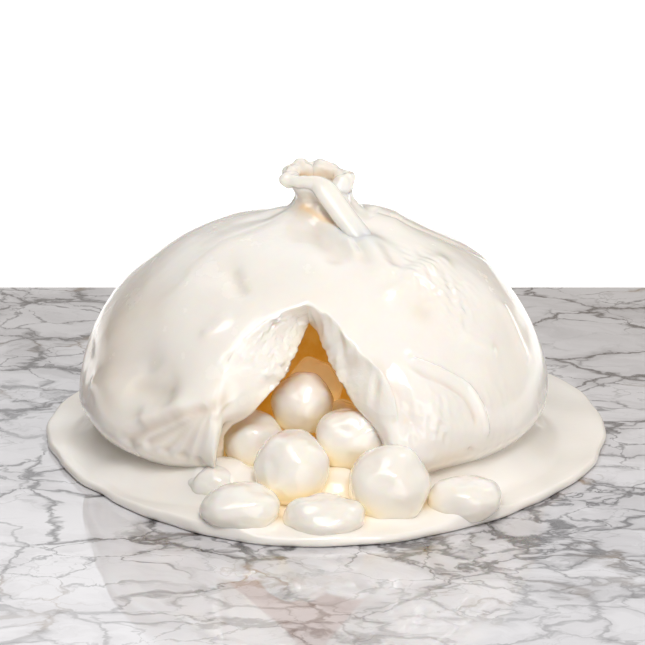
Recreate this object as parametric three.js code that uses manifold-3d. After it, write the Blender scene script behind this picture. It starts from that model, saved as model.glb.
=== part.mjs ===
// A stuffed buffalo mozzarella, cut open at the front, on a marble board.
// Millimetres, +Z up. The origin is the middle of the board's underside and the cut faces -Y.
// Food is laid out with its heights taken from the board's top, then lifted onto the board.
import * as THREE from "three";
import Module from "manifold-3d";

const wasm = await Module();
wasm.setup();

// Board: a polished slab with eased edges
const BOARD_WIDTH = 400;
const BOARD_DEPTH = 500;
const BOARD_THICKNESS = 20;
const BOARD_CORNER = 5;
const BOARD_EASE = 1.5;

// Clearance between pieces that touch
const GAP = 0.3;

// Pouch: an oval dome that sags on a small foot and is gathered into a neck
const HALF_WIDTH = 99.3;
const HALF_DEPTH = 96;
const GIRTH_HEIGHT = 27;
const CROWN_RISE = 77.5;
const BELLY_DROP = 29;
const WALL = 15;
const CAVITY_FLOOR = 8;
const NECK_OUTLINE = [
  [0, 116.2], [5, 116.8], [9.6, 119.2], [12.4, 121.4], [14.8, 120.2], [14.4, 117.4], [12.4, 114.8],
  [11, 112], [11.8, 108.8], [15.5, 105.4], [24.5, 102.2],
];
const CAP_TILT = 1.6;
const CAP_LEAN = 1.6;
const NECK_OFFSET = 3.5;
const CAP_OFFSET = -2;
const PLEATS = 11;
const PLEAT_DEPTH = 0.8;

// Cut: a slit that starts high on the front and gapes towards the board
const CUT_TOP = THREE.MathUtils.degToRad(46.5);
const CUT_FOOT = THREE.MathUtils.degToRad(-48);
const CUT_ROUNDING = THREE.MathUtils.degToRad(13);
const CUT_TURN = THREE.MathUtils.degToRad(-1.7);
const CUT_OUTER_WIDTH = 34;
const CUT_INNER_WIDTH = 38;

// Strand: the end of the knot, laid down over the neck onto the right shoulder
const STRAND_PATH = [
  [-7, -5, 119], [-1, -11.5, 116.5], [7, -16, 111.5], [15, -20.5, 105], [22, -26.5, 98.5], [27, -34, 92],
];
const STRAND_RADIUS = 5.6;

// Pool: the cream's outline as bearing in degrees and distance from the middle
const POOL_OUTLINE = [
  [-90, 122.5], [-60, 118.5], [-40, 116], [-15, 119.5], [10, 128], [30, 139], [47, 146], [70, 139],
  [98, 127], [127, 124], [150, 126], [170, 118], [190, 109.5], [212, 106], [232, 110], [252, 119],
];
const POOL_DEPTH = 3;

// Filling: the cream's slope behind the mouth as depth and height, and the sides of the space above it
const FILLING_SLOPE = [[-100, 10], [-70, 13], [-45, 17], [-25, 25], [-12, 40], [-6, 62], [-4, 100]];
const HEAD_LEFT = -37;
const HEAD_RIGHT = 30;

// Balls: middle and half sizes of each little cheese
const BALLS = [
  { at: [-4.6, -52.5, 37], half: [12.4, 12.1, 12.4] },
  { at: [-24, -62, 23.5], half: [12.6, 12.2, 12.2] },
  { at: [16.5, -70, 27.9], half: [15.7, 13.4, 12.4] },
  { at: [-8.3, -86, 20.3], half: [14.7, 14.5, 14.7] },
  { at: [30.2, -93.5, 16.2], half: [16.1, 15.2, 15.2] },
  { at: [-37.8, -78, 9.9], half: [12, 11, 9.4] },
  { at: [-28.4, -103.4, 9.8], half: [15.9, 13.3, 9.4] },
  { at: [4.8, -107.5, 8.4], half: [16, 12.8, 8] },
  { at: [60.5, -90, 9.3], half: [14.8, 12.6, 8.9] },
  { at: [0.3, -24, 35.1], half: [11.5, 11.4, 11.5] },
  { at: [9.5, -84, 7.6], half: [7, 6.8, 6.8] },
  { at: [12, -40, 23.5], half: [10.3, 10.2, 10.2] },
];
const BALL_UNEVENNESS = 0.022;

const smooth = (from, to, value) => THREE.MathUtils.smoothstep(value, from, to);
const steps = (from, to, count) => {
  const step = (to - from) / (count - 1);
  return Array.from({ length: count }, (_, k) => from + step * k);
};

// A closed mesh is gathered point by point, with points in the same place shared.
class Skin {
  constructor() {
    this.positions = [];
    this.triangles = [];
    this.known = new Map();
  }

  point(p) {
    const key = [p.x, p.y, p.z].map((v) => Math.round(v * 1e4) + 0).join();
    if (!this.known.has(key)) {
      this.known.set(key, this.positions.length / 3);
      this.positions.push(p.x, p.y, p.z);
    }
    return this.known.get(key);
  }

  triangle(a, b, c) {
    if (a !== b && b !== c && a !== c) {
      this.triangles.push(a, b, c);
    }
  }

  // Rows run down the surface and each row runs anticlockwise seen from above, which faces outwards.
  grid(rows, inward = false) {
    for (let i = 0; i + 1 < rows.length; i += 1) {
      for (let j = 0; j + 1 < rows[i].length; j += 1) {
        const [a, b] = [this.point(rows[i][j]), this.point(rows[i + 1][j])];
        const [d, c] = [this.point(rows[i][j + 1]), this.point(rows[i + 1][j + 1])];
        if (inward) {
          this.triangle(a, c, b);
          this.triangle(a, d, c);
        } else {
          this.triangle(a, b, c);
          this.triangle(a, c, d);
        }
      }
    }
  }

  solid() {
    const vertProperties = new Float32Array(this.positions);
    const triVerts = new Uint32Array(this.triangles);
    return new wasm.Manifold(new wasm.Mesh({ numProp: 3, vertProperties, triVerts }));
  }
}

// A three.js geometry turned into a solid, by way of the same point sharing.
function solidFromGeometry(geometry) {
  const flat = geometry.index ? geometry.toNonIndexed() : geometry;
  const place = flat.getAttribute("position");
  const skin = new Skin();
  for (let k = 0; k < place.count; k += 3) {
    const ids = [0, 1, 2].map((n) => skin.point(new THREE.Vector3().fromBufferAttribute(place, k + n)));
    skin.triangle(...ids);
  }
  return skin.solid();
}

function geometryFromSolid(solid, lift) {
  const mesh = solid.getMesh();
  const places = [];
  for (let k = 0; k < mesh.vertProperties.length; k += mesh.numProp) {
    places.push(mesh.vertProperties[k], mesh.vertProperties[k + 1], mesh.vertProperties[k + 2] + lift);
  }
  const geometry = new THREE.BufferGeometry();
  geometry.setAttribute("position", new THREE.Float32BufferAttribute(places, 3));
  geometry.setIndex(Array.from(mesh.triVerts));
  geometry.computeVertexNormals();
  return geometry;
}

// How close a point is to a place: one at the place, fading to nothing over the spread
function near(p, x, y, z, spread) {
  const away = (p.x - x) ** 2 + (p.y - y) ** 2 + (p.z - z) ** 2;
  return Math.exp(-away / (2 * spread * spread));
}

// The pouch's broad swells and hollows, outwards in millimetres
function swell(p) {
  const shoulders = 1.6 * near(p, 60, 0, 86, 34) + 2 * near(p, 22, 4, 103, 11);
  const valley = 3 * near(p, 44, -68, 69, 11) + 3 * near(p, 62, -64, 58, 11) + 2 * near(p, 80, -48, 52, 12);
  const bulges = 3.5 * near(p, 45, -84, 40, 13) + 2 * near(p, 47, -52, 82, 12);
  const flank = 1.2 * near(p, -72, -10, 75, 18) + 3.5 * near(p, -70, -60, 54, 13);
  const hollows = 2 * near(p, -36, -39, 92, 8) + 3 * near(p, -46, -84, 22, 10);
  const drape = 2.5 * near(p, -48, -84, 45, 9) + 2 * near(p, -66, -70, 33, 10);
  return shoulders - valley + bulges - flank - hollows + drape;
}

// A point of the outer skin at a turn round the axis, for a ring of a given radius and height
function skinPoint(turn, ring) {
  const p = new THREE.Vector3(
    ring.radius * Math.sin(turn),
    (-ring.radius * Math.cos(turn) * HALF_DEPTH) / HALF_WIDTH,
    ring.height,
  );
  const outward = new THREE.Vector3(p.x, p.y, 1.4 * Math.max(p.z - GIRTH_HEIGHT, 0)).normalize();
  const neck = smooth(100, 105, p.z);
  const offAxis = Math.min(1, ring.radius / 8);
  const gathered = smooth(101, 106, p.z) * (1 - smooth(111, 116.5, p.z));
  const pleat = PLEAT_DEPTH * Math.cos(PLEATS * turn) * gathered * offAxis;
  const cap = smooth(113.5, 118, p.z) * offAxis;
  p.addScaledVector(outward, swell(p) * (1 - neck) * Math.min(1, ring.radius / 20));
  const ruffle = 1.1 * Math.cos(5 * turn + 0.6) + 0.6 * Math.cos(8 * turn + 2);
  p.x += (pleat + ruffle * cap) * Math.sin(turn);
  p.y -= (pleat + ruffle * cap) * Math.cos(turn);
  const lobes = 0.9 * Math.cos(3 * turn + 1) + 0.5 * Math.sin(7 * turn);
  p.z += cap * (lobes - CAP_TILT * Math.cos(turn) - CAP_LEAN * Math.sin(turn));
  p.x += NECK_OFFSET * smooth(98, 108, ring.height) + CAP_OFFSET * smooth(111, 119, ring.height);
  return p;
}

const domeRing = (latitude, grow = 0) => ({
  radius: (HALF_WIDTH + grow) * Math.cos(latitude),
  height: GIRTH_HEIGHT + ((latitude > 0 ? CROWN_RISE : BELLY_DROP) + grow) * Math.sin(latitude),
  latitude,
});

function cavityRing(latitude, shrink = 0) {
  const rise = latitude > 0 ? CROWN_RISE - WALL : GIRTH_HEIGHT - CAVITY_FLOOR;
  return {
    radius: (HALF_WIDTH - WALL - shrink) * Math.cos(latitude),
    height: GIRTH_HEIGHT + (rise - shrink) * Math.sin(latitude),
    latitude,
  };
}

// Half widths of the slit to its left and right, at a drop below its top
function outerCut(drop) {
  const left = CUT_OUTER_WIDTH * (1 - Math.exp(-drop / 6.3)) + 0.06 * drop;
  const right = CUT_OUTER_WIDTH * 0.83 * smooth(0, 24, drop) + 0.25 * Math.max(drop - 24, 0);
  return [left, right];
}

function innerCut(drop) {
  const left = Math.min(0.62 * drop + 10 * smooth(26, 42, drop), CUT_INNER_WIDTH);
  const right = Math.min(0.52 * drop + 17 * smooth(28, 37, drop), CUT_INNER_WIDTH);
  return [left, right];
}

// The turns at which a ring's skin starts, right of the slit, and ends, left of it
function ringEnds(ring, top, widths, clearance) {
  const full = 2 * Math.PI;
  const open = ring.latitude < CUT_TOP - 1e-6 && ring.latitude > CUT_FOOT + 1e-6;
  if (!open) {
    return [CUT_TURN, CUT_TURN + full];
  }
  const rounding = Math.min((ring.latitude - CUT_FOOT) / CUT_ROUNDING, 1);
  const share = Math.sqrt(1 - (1 - rounding) ** 2);
  const [left, right] = widths(top - ring.height).map((width) => Math.max(width * share - clearance, 0));
  const middle = Math.sin(CUT_TURN);
  return [Math.asin(middle + right / ring.radius), Math.asin(middle - left / ring.radius) + full];
}

// Columns crowd towards the slit, and only those near it are pushed aside where it gapes
function ringTurns([from, to], columns) {
  const full = 2 * Math.PI;
  const reach = 1.35;
  return steps(0, 1, columns + 1).map((s) => {
    const turn = CUT_TURN + full * (s - (0.45 * Math.sin(full * s)) / full);
    const [fromRight, fromLeft] = [turn - CUT_TURN, CUT_TURN + full - turn];
    const right = (from - CUT_TURN) * Math.max(1 - fromRight / reach, 0);
    const left = (CUT_TURN + full - to) * Math.max(1 - fromLeft / reach, 0);
    return turn + right - left;
  });
}

const cutLatitudes = [
  ...steps(CUT_TOP, CUT_FOOT + CUT_ROUNDING, 13),
  ...[0.45, 0.2, 0.06, 0].map((share) => CUT_FOOT + CUT_ROUNDING * share),
];
const footLatitude = -Math.asin((GIRTH_HEIGHT - GAP) / BELLY_DROP);

function neckRings() {
  const outline = new THREE.SplineCurve(NECK_OUTLINE.map((p) => new THREE.Vector2(...p)));
  return outline.getPoints(12).map((p) => ({ radius: Math.max(p.x, 0), height: p.y }));
}

// The pouch without its knot; a clearance draws the cavity in by that much
function pouchShell(clearance = 0) {
  const shoulder = steps(THREE.MathUtils.degToRad(70), CUT_TOP, 5).slice(0, -1);
  const below = [(CUT_FOOT + footLatitude) / 2, footLatitude];
  const outerRings = [
    ...neckRings(),
    ...[...shoulder, ...cutLatitudes, ...below].map((latitude) => domeRing(latitude)),
    { radius: 0, height: GAP },
  ];
  const roof = steps(Math.PI / 2, CUT_TOP, 5).slice(0, -1);
  const floor = steps(CUT_FOOT, -Math.PI / 2, 4).slice(1);
  const innerRings = [...roof, ...cutLatitudes, ...floor].map((latitude) => cavityRing(latitude, clearance));
  const outerTop = domeRing(CUT_TOP).height;
  const innerTop = cavityRing(CUT_TOP, clearance).height;
  const outerRows = outerRings.map((ring) => {
    const ends = ringEnds(ring, outerTop, outerCut, clearance);
    return ringTurns(ends, 56).map((turn) => skinPoint(turn, ring));
  });
  const innerRows = innerRings.map((ring) => {
    const ends = ringEnds(ring, innerTop, innerCut, clearance);
    return ringTurns(ends, 26).map((turn) => wallPoint(turn, ring));
  });
  const skin = new Skin();
  skin.grid(outerRows);
  skin.grid(innerRows, true);
  const outerStart = outerRings.findIndex((ring) => ring.latitude === CUT_TOP);
  const innerStart = innerRings.findIndex((ring) => ring.latitude === CUT_TOP);
  const lips = cutLatitudes.map((_, k) => [outerRows[outerStart + k], innerRows[innerStart + k]]);
  skin.grid(lips.map(([outer, inner]) => cutFace(outer[0], inner[0])), true);
  skin.grid(lips.map(([outer, inner]) => cutFace(outer.at(-1), inner.at(-1))));
  return skin.solid();
}

function wallPoint(turn, ring) {
  return new THREE.Vector3(
    ring.radius * Math.sin(turn),
    (-ring.radius * Math.cos(turn) * (HALF_DEPTH - WALL)) / (HALF_WIDTH - WALL),
    ring.height,
  );
}

// One line across the cut's face, from the outer edge to the inner edge
function cutFace(outer, inner) {
  return steps(0, 1, 3).map((s) => outer.clone().lerp(inner, s));
}

// A round rope carried along a path, thinning to nothing at both ends
function strand() {
  const path = new THREE.CatmullRomCurve3(STRAND_PATH.map((p) => new THREE.Vector3(...p)));
  const count = 12;
  const frames = path.computeFrenetFrames(count, false);
  const rows = steps(0, 1, count + 1).map((s, k) => {
    const middle = path.getPointAt(s);
    const radius = STRAND_RADIUS * Math.sqrt(Math.max(0, 1 - (2 * s - 1) ** 6)) * (1.1 - 0.25 * s);
    return steps(0, 2 * Math.PI, 11).map((turn) => middle.clone()
      .addScaledVector(frames.normals[k], radius * Math.cos(turn))
      .addScaledVector(frames.binormals[k], radius * Math.sin(turn)));
  });
  const skin = new Skin();
  skin.grid(rows, true);
  return skin.solid();
}

// A small cheese: a squashed sphere with slow swellings of its own
function ball(index, grow = 0) {
  const { at, half } = BALLS[index];
  const skin = new Skin();
  skin.grid(steps(Math.PI / 2, -Math.PI / 2, 10).map((latitude) => steps(0, 2 * Math.PI, 15).map((turn) => {
    const flat = Math.cos(latitude);
    const facing = [flat * Math.sin(turn), -flat * Math.cos(turn), Math.sin(latitude)];
    const lumps = facing.reduce((sum, f, k) => sum + Math.sin((k < 2 ? 3 : 4) * f + (k + 1) * index), 0);
    const size = 1 - BALL_UNEVENNESS + (BALL_UNEVENNESS * lumps) / 3;
    return new THREE.Vector3(...facing.map((f, k) => at[k] + f * (half[k] * size + grow)));
  })));
  return skin.solid();
}

// The pool's upper face, a little higher where cream has run out round the left-hand balls
function poolHeight(x, y) {
  return POOL_DEPTH + 3 * Math.exp(-((x + 40) ** 2 + (y + 86) ** 2) / (2 * 14 ** 2));
}

function poolBlank() {
  const corners = POOL_OUTLINE.map(([bearing, reach]) => {
    const angle = THREE.MathUtils.degToRad(bearing);
    return new THREE.Vector3(reach * Math.cos(angle), reach * Math.sin(angle), 0);
  });
  const edge = new THREE.CatmullRomCurve3(corners, true).getPoints(52);
  const level = (share, height) => edge.map((p) => {
    const q = p.clone().multiplyScalar(share);
    return q.setZ(height(q.x, q.y));
  });
  const rows = [
    level(0, poolHeight),
    ...[0.6, 0.78, 0.9, 0.965].map((share) => level(share, poolHeight)),
    level(0.99, () => POOL_DEPTH * 0.72),
    level(1, () => POOL_DEPTH * 0.4),
    level(0.992, () => GAP),
    level(0, () => GAP),
  ];
  const skin = new Skin();
  skin.grid(rows);
  return skin.solid();
}

// The whole dome without its slit, a clearance larger than the pouch
function domeBlank(grow) {
  const rings = steps(Math.PI / 2, footLatitude, 16).map((latitude) => domeRing(latitude, grow));
  rings.push({ radius: 0, height: -1 });
  const turns = ringTurns([CUT_TURN, CUT_TURN + 2 * Math.PI], 56);
  const rows = rings.map((ring) => turns.map((turn) => skinPoint(turn, ring)));
  rows.at(-2).forEach((p) => p.setZ(-1));
  const skin = new Skin();
  skin.grid(rows);
  return skin.solid();
}

// The free space over the slope of cream, between the two sides that the cream still fills
function headSpace() {
  const slope = new THREE.SplineCurve(FILLING_SLOPE.map(([y, z]) => new THREE.Vector2(y, z)));
  const profile = [...slope.getPoints(14), new THREE.Vector2(-4, 130), new THREE.Vector2(-100, 130)];
  const space = new THREE.ExtrudeGeometry(new THREE.Shape(profile), {
    depth: HEAD_RIGHT - HEAD_LEFT,
    bevelEnabled: false,
  });
  const [x, y, z] = [[1, 0, 0], [0, 1, 0], [0, 0, 1]].map((axis) => new THREE.Vector3(...axis));
  space.applyMatrix4(new THREE.Matrix4().makeBasis(y, z, x));
  space.translate(HEAD_LEFT, 0, 0);
  return solidFromGeometry(space);
}

// The cream that fills the pouch behind its mouth
function filling() {
  const rings = steps(Math.PI / 2, -Math.PI / 2, 15).map((latitude) => cavityRing(latitude, -1));
  const rows = rings.map((ring) => steps(0, 2 * Math.PI, 29).map((t) => wallPoint(t, ring)));
  const skin = new Skin();
  skin.grid(rows);
  const body = skin.solid().subtract(headSpace());
  return body.subtract(pouchShell(GAP + 0.1)).subtract(pouchShell().translate([0, 0, GAP + 0.1]));
}

function board() {
  const [w, d, r] = [BOARD_WIDTH / 2 - BOARD_EASE, BOARD_DEPTH / 2 - BOARD_EASE, BOARD_CORNER];
  const outline = new THREE.Shape();
  outline.moveTo(-w + r, -d);
  outline.lineTo(w - r, -d);
  outline.absarc(w - r, -d + r, r, -Math.PI / 2, 0);
  outline.lineTo(w, d - r);
  outline.absarc(w - r, d - r, r, 0, Math.PI / 2);
  outline.lineTo(-w + r, d);
  outline.absarc(-w + r, d - r, r, Math.PI / 2, Math.PI);
  outline.lineTo(-w, -d + r);
  outline.absarc(-w + r, -d + r, r, Math.PI, 1.5 * Math.PI);
  const slab = new THREE.ExtrudeGeometry(outline, {
    depth: BOARD_THICKNESS - 2 * BOARD_EASE,
    bevelSize: BOARD_EASE,
    bevelThickness: BOARD_EASE,
    bevelSegments: 2,
    curveSegments: 4,
  });
  slab.translate(0, 0, BOARD_EASE);
  return solidFromGeometry(slab);
}

const object = new THREE.Group();

function addPiece(name, solid, material, lift = BOARD_THICKNESS) {
  const mesh = new THREE.Mesh(geometryFromSolid(solid, lift), new THREE.MeshStandardMaterial(material));
  mesh.name = name;
  object.add(mesh);
}

const ballCopies = BALLS.map((_, index) => ball(index, GAP + 0.1));
const allBalls = ballCopies.reduce((sum, copy) => sum.add(copy));
const pouch = pouchShell().add(strand()).subtract(allBalls);
const pool = poolBlank().subtract(domeBlank(GAP + 0.1)).subtract(allBalls);

addPiece("marble_board", board(), { color: 0xd8d5d3, roughness: 0.12, metalness: 0 }, 0);
addPiece("cream_pool", pool, { color: 0xf5eee4, roughness: 0.25, metalness: 0 });
addPiece("cheese_pouch", pouch, { color: 0xf4ede4, roughness: 0.3, metalness: 0 });
addPiece("cream_filling", filling().subtract(allBalls), { color: 0xefd9a6, roughness: 0.45, metalness: 0 });
BALLS.forEach((_, index) => {
  const number = String(index + 1).padStart(2, "0");
  addPiece(`ball_${number}`, ball(index), { color: 0xf5efe7, roughness: 0.28, metalness: 0 });
});

export default object;
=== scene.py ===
"""A stuffed buffalo mozzarella, cut open at the front, on a marble board.

Blender works in metres, +Z up, with the cut towards -Y. Shapes are worked out in millimetres, the food's
heights taken from the board's top, and turned into metres as each mesh is made.
"""
import math

import bpy
import numpy as np
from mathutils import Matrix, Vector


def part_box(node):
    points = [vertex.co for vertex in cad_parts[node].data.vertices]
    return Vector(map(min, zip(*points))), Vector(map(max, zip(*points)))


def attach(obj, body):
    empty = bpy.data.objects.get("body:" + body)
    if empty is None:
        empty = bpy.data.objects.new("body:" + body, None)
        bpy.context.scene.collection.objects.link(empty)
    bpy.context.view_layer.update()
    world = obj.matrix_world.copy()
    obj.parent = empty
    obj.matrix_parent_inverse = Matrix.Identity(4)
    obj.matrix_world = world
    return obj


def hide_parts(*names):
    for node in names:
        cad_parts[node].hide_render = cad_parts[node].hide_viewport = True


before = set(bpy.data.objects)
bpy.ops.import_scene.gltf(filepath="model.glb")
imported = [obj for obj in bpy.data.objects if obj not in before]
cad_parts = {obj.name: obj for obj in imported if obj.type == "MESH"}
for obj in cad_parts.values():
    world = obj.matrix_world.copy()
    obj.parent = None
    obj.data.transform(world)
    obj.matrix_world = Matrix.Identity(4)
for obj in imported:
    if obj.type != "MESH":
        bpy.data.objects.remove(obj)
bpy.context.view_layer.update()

# Marble board
# A slab of white marble with a net of grey veins, sawn to a rectangle, its corners and edges eased by hand
# and its faces polished to a mirror. It lies flat and carries all the food.
MM = 0.001
BOARD_LOW, BOARD_HIGH = (np.array(corner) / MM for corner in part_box("marble_board"))
BOARD_TOP = BOARD_HIGH[2]
BOARD_CORNER = 6.5
BOARD_EASE = 1.5
MARBLE_WHITE = (0.79, 0.79, 0.83, 1)
MARBLE_CLOUD = (0.52, 0.51, 0.54, 1)
MARBLE_VEIN = (0.06, 0.055, 0.06, 1)
MARBLE_RUST = (0.30, 0.21, 0.13, 1)


def weld(grids):
    """Joins grids of points (rows by columns) along the points that they share.

    Rows run down a surface and columns run anticlockwise seen from above, so each face's corners, taken down
    one column and up the next, face outwards. Gives the points, the faces' corners and, for each grid point,
    the number of the point that it became.
    """
    flat = np.concatenate([grid.reshape(-1, 3) for grid in grids])
    _, first, number = np.unique(np.round(flat, 3), axis=0, return_index=True, return_inverse=True)
    number = number.ravel()
    corners = []
    start = 0
    for rows, columns in (grid.shape[:2] for grid in grids):
        n = number[start:start + rows * columns].reshape(rows, columns)
        corners.append(np.stack([n[:-1, :-1], n[1:, :-1], n[1:, 1:], n[:-1, 1:]], -1).reshape(-1, 4))
        start += rows * columns
    return flat[first], np.concatenate(corners), number


def make_piece(name, points, corners, finish, slot, node, lift=BOARD_TOP, **marks):
    """A mesh from points in millimetres and faces of four corners, two of which may be the same point."""
    repeated = corners == np.roll(corners, -1, axis=1)
    whole = (~repeated).sum(1) > 2
    corners, repeated = corners[whole], repeated[whole]
    sides = (~repeated).sum(1)
    loops = corners[~repeated]
    mesh = bpy.data.meshes.new(name)
    mesh.vertices.add(len(points))
    mesh.vertices.foreach_set("co", ((points + [0, 0, lift]) * MM).astype(np.float32).ravel())
    mesh.loops.add(len(loops))
    mesh.loops.foreach_set("vertex_index", loops.astype(np.int32))
    mesh.polygons.add(len(sides))
    mesh.polygons.foreach_set("loop_start", (np.cumsum(sides) - sides).astype(np.int32))
    mesh.update(calc_edges=True)
    mesh.validate()
    mesh.shade_smooth()
    for mark, values in marks.items():
        mesh.attributes.new(mark, "FLOAT", "POINT").data.foreach_set("value", values.astype(np.float32))
    mesh.materials.append(finish)
    piece = bpy.data.objects.new(name, mesh)
    bpy.context.scene.collection.objects.link(piece)
    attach(piece, "root")
    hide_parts(node)
    return piece


def new_finish(name):
    """A material with its node tree and its one surface shader."""
    finish = bpy.data.materials.new(name)
    finish.use_nodes = True
    return finish, finish.node_tree, finish.node_tree.nodes["Principled BSDF"]


def add_node(tree, kind, sockets, **settings):
    """A node with its settings, each socket given a value or a link from another node's output."""
    node = tree.nodes.new(kind)
    for key, value in settings.items():
        setattr(node, key, value)
    for key, value in sockets.items():
        if isinstance(value, bpy.types.NodeSocket):
            tree.links.new(value, node.inputs[key])
        else:
            node.inputs[key].default_value = value
    return node


def noise(tree, place, scale, detail=3.0, roughness=0.55):
    """Soft random blotches, 1 / scale metres across."""
    sockets = {"Vector": place, "Scale": scale, "Detail": detail, "Roughness": roughness}
    return add_node(tree, "ShaderNodeTexNoise", sockets)


def fade(tree, value, low, high, at_low=0.0, at_high=1.0):
    """A value eased from one level to another between two limits."""
    sockets = {"Value": value, "From Min": low, "From Max": high, "To Min": at_low, "To Max": at_high}
    return add_node(tree, "ShaderNodeMapRange", sockets, interpolation_type="SMOOTHSTEP").outputs["Result"]


def blend_colours(tree, share, first, second):
    """The first colour turning into the second as the share goes from nothing to one."""
    return add_node(tree, "ShaderNodeMix", {0: share, 6: first, 7: second}, data_type="RGBA").outputs[2]


def calculate(tree, operation, first, second):
    """Two numbers put together."""
    return add_node(tree, "ShaderNodeMath", {0: first, 1: second}, operation=operation).outputs[0]


def push_aside(tree, place, scale, reach):
    """Places shifted by soft noise, up to the reach in metres, so that lines through them wander."""
    drift = noise(tree, place, scale, 4.0, 0.6).outputs["Color"]
    centred = add_node(tree, "ShaderNodeVectorMath", {0: drift, 1: (0.5, 0.5, 0.5)}, operation="SUBTRACT")
    sockets = {0: centred.outputs[0], "Scale": reach}
    scaled = add_node(tree, "ShaderNodeVectorMath", sockets, operation="SCALE")
    moved = add_node(tree, "ShaderNodeVectorMath", {0: place, 1: scaled.outputs[0]}, operation="ADD")
    return moved.outputs[0]


def vein_net(tree, place, scale, width, patch_scale, patch_limits):
    """Lines along the borders of random cells, swelling and thinning, that come and go in larger patches."""
    sockets = {"Vector": place, "Scale": scale, "Randomness": 1.0}
    border = add_node(tree, "ShaderNodeTexVoronoi", sockets, feature="DISTANCE_TO_EDGE").outputs["Distance"]
    patch = noise(tree, place, patch_scale, 2.0).outputs["Fac"]
    swell = fade(tree, noise(tree, place, 2.5 * scale, 3.0).outputs["Fac"], 0.3, 0.75, 0.25, 1.9)
    line = fade(tree, calculate(tree, "DIVIDE", border, swell), 0.0, width, 1.0, 0.0)
    return calculate(tree, "MULTIPLY", line, fade(tree, patch, *patch_limits))


def polished_marble():
    """White stone with grey clouds, three nets of crisp veins and a haze along them, fainter in front."""
    finish, tree, shader = new_finish("polished_marble")
    place = add_node(tree, "ShaderNodeTexCoord", {}).outputs["Object"]
    turned = add_node(
        tree, "ShaderNodeMapping", {"Vector": place, "Rotation": (0, 0, 0.5), "Scale": (1, 1.3, 1)},
    ).outputs[0]
    wandering = push_aside(tree, push_aside(tree, turned, 9.0, 0.07), 45.0, 0.02)
    frayed = push_aside(tree, wandering, 160.0, 0.006)
    bold = vein_net(tree, frayed, 15.0, 0.040, 6.0, (0.27, 0.44))
    fine = vein_net(tree, frayed, 31.0, 0.042, 9.0, (0.38, 0.56))
    hair = vein_net(tree, frayed, 66.0, 0.05, 15.0, (0.46, 0.66))
    haze = vein_net(tree, wandering, 15.0, 0.22, 8.0, (0.34, 0.56))
    smudge = vein_net(tree, frayed, 31.0, 0.15, 13.0, (0.50, 0.66))
    streaked = add_node(tree, "ShaderNodeMapping", {"Vector": wandering, "Scale": (0.5, 2.2, 1)}).outputs[0]
    cloud = fade(tree, noise(tree, streaked, 18.0, 6.0, 0.65).outputs["Fac"], 0.46, 0.76, 0.0, 0.55)
    stone = blend_colours(tree, cloud, MARBLE_WHITE, MARBLE_CLOUD)
    along = add_node(tree, "ShaderNodeSeparateXYZ", {0: push_aside(tree, place, 9.0, 0.07)}).outputs["Y"]
    quiet = fade(tree, along, -0.19, -0.12, 0.5, 1.0)
    haze = calculate(tree, "MULTIPLY", haze, quiet)
    stone = blend_colours(tree, calculate(tree, "MULTIPLY", haze, 0.6), stone, MARBLE_CLOUD)
    rust = fade(tree, noise(tree, turned, 14.0, 3.0).outputs["Fac"], 0.58, 0.72)
    vein = blend_colours(tree, rust, MARBLE_VEIN, MARBLE_RUST)
    for net, strength in ((hair, 0.3), (smudge, 0.5), (fine, 0.65), (bold, 0.85)):
        share = calculate(tree, "MULTIPLY", calculate(tree, "MULTIPLY", net, strength), quiet)
        stone = blend_colours(tree, share, stone, vein)
    tree.links.new(stone, shader.inputs["Base Color"])
    wear = noise(tree, place, 30.0, 4.0).outputs["Fac"]
    tree.links.new(fade(tree, wear, 0.3, 0.7, 0.02, 0.05), shader.inputs["Roughness"])
    shader.inputs["IOR"].default_value = 1.5
    shader.inputs["Coat Weight"].default_value = 0.8
    shader.inputs["Coat Roughness"].default_value = 0.02
    return finish


def slab_outline(inset):
    """Points round the slab, anticlockwise: a quarter circle at each corner, drawn in by the inset."""
    quarter = np.linspace(0, math.pi / 2, 10)
    turn = np.concatenate([quarter + k * math.pi / 2 for k in range(4)])
    middle = BOARD_HIGH[:2] - BOARD_CORNER
    across = np.repeat([1, -1, -1, 1], len(quarter)) * middle[0] + (BOARD_CORNER - inset) * np.cos(turn)
    along = np.repeat([1, 1, -1, -1], len(quarter)) * middle[1] + (BOARD_CORNER - inset) * np.sin(turn)
    ring = np.stack([across, along], -1)
    return np.concatenate([ring, ring[:1]])


def board_grid():
    """The slab's edge profile carried round it: a flat, a quarter round, a side, a quarter round, a flat."""
    bend = np.linspace(0, math.pi / 2, 6)
    upper = [(BOARD_EASE * (1 - math.sin(a)), BOARD_TOP - BOARD_EASE * (1 - math.cos(a))) for a in bend]
    lower = [(inset, BOARD_TOP - height) for inset, height in reversed(upper)]
    flat = 1.6 * BOARD_EASE
    profile = [(flat, BOARD_TOP), *upper, *lower, (flat, 0.0)]
    rings = [np.insert(slab_outline(inset), 2, height, axis=1) for inset, height in profile]
    poles = [np.zeros_like(rings[0]) + [0, 0, height] for height in (BOARD_TOP, 0.0)]
    return np.stack([poles[0], *rings, poles[1]])


board_points, board_corners, _ = weld([board_grid()])
make_piece("marble_slab", board_points, board_corners, polished_marble(), "marble", "marble_board", lift=0.0)

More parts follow.
